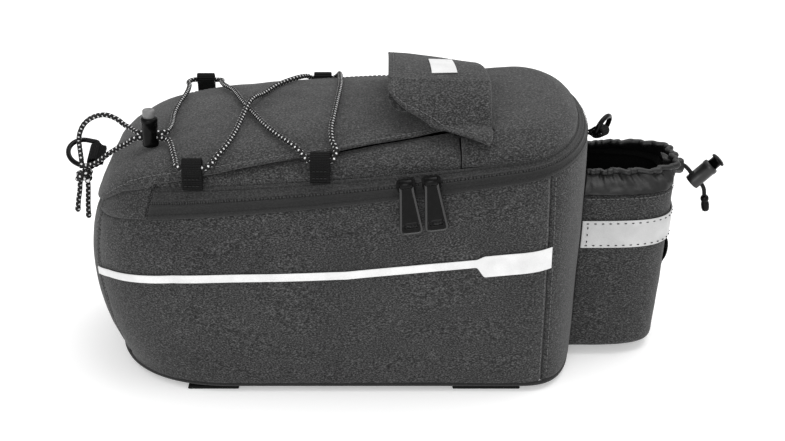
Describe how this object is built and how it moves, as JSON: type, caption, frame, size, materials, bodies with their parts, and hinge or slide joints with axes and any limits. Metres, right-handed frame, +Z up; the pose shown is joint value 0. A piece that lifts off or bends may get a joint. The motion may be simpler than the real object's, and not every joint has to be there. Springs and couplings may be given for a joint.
{
  "type": "bicycle rack trunk bag",
  "caption": "Soft padded rack bag for a bicycle: zipped domed lid with elastic cord lacing and carrying handle, bottle pocket on the rear end.",
  "frame": {"origin": "on the ground, under the middle of the bag's bounding box without its free cords", "axes": "+X towards the rear end with the bottle pocket, +Z up, -Y towards the side with the zip pulls"},
  "size_m": [0.4057, 0.1716, 0.1838],
  "materials": {
    "shell_fabric": "woven, matt, flecked",
    "zip_tape": "woven, matt",
    "collar_nylon": "thin, slightly glossy",
    "webbing": "ribbed",
    "reflective_tape": "smooth, satin",
    "black_plastic": "glossy",
    "grey_plastic": "satin",
    "lock_plastic": "satin",
    "cord": "braided, with pale flecks"
  },
  "bodies": {
    "bag": {"base_panel": "shell_fabric", "side_panel_near": "shell_fabric", "side_panel_far": "shell_fabric", "front_end_panel": "shell_fabric", "rear_end_panel": "shell_fabric", "zip_band": "zip_tape", "front_gusset_near": "shell_fabric", "front_gusset_far": "shell_fabric", "lid_side_near": "shell_fabric", "lid_side_far": "shell_fabric", "lid_top_panel": "shell_fabric", "lid_rear_panel": "shell_fabric", "side_stripe": "reflective_tape", "rack_strap_front": "webbing", "rack_strap_rear": "webbing", "slider_left": "black_plastic", "slider_right": "black_plastic", "handle_webbing": "webbing", "handle_wrap": "shell_fabric", "wrap_label": "reflective_tape", "cord_loop_near_1": "webbing", "cord_loop_near_2": "webbing", "cord_loop_far_1": "webbing", "cord_loop_far_2": "webbing", "pocket_wall": "shell_fabric", "pocket_floor": "shell_fabric", "pocket_collar": "collar_nylon", "pocket_band": "reflective_tape", "light_loop": "webbing", "toggle_barrel": "black_plastic", "front_d_ring": "black_plastic", "front_ring_tab": "webbing", "rear_ring_tab": "webbing", "bungee_cord": "cord", "bungee_tail_1": "cord", "bungee_tail_2": "cord", "bungee_knot": "cord", "collar_tunnel": "collar_nylon", "drawcord": "cord", "lock_barrel": "lock_plastic", "drawcord_end": "cord"},
    "pull_left": {"pull_left": "black_plastic"},
    "pull_right": {"pull_right": "black_plastic"},
    "toggle_button": {"toggle_button": "grey_plastic"},
    "lock_button": {"lock_button": "black_plastic"},
    "rear_ring": {"rear_d_ring": "black_plastic"}
  },
  "joints": [
    {"name": "pull_left_swing", "type": "hinge", "parent": "bag", "child": "pull_left", "pos_m": [0.0182, -0.08281, 0.13918], "axis": [-0.9932, 0, -0.1168], "range_deg": [0, 115]},
    {"name": "pull_right_swing", "type": "hinge", "parent": "bag", "child": "pull_right", "pos_m": [0.03236, -0.08273, 0.14101], "axis": [-0.9922, 0, -0.1243], "range_deg": [0, 115]},
    {"name": "toggle_press", "type": "slide", "parent": "bag", "child": "toggle_button", "axis": [0, 0, -1], "range_m": [0, 0.0035], "stiffness_N_per_m": 600, "springref_m": -0.001},
    {"name": "lock_press", "type": "slide", "parent": "bag", "child": "lock_button", "axis": [-0.7071, 0, -0.7071], "range_m": [0, 0.0035], "stiffness_N_per_m": 600, "springref_m": -0.001},
    {"name": "rear_ring_swing", "type": "hinge", "parent": "bag", "child": "rear_ring", "pos_m": [0.13898, 0.00179, 0.138], "axis": [0.4924, 0.8529, -0.1737], "range_deg": [-10, 95]}
  ]
}
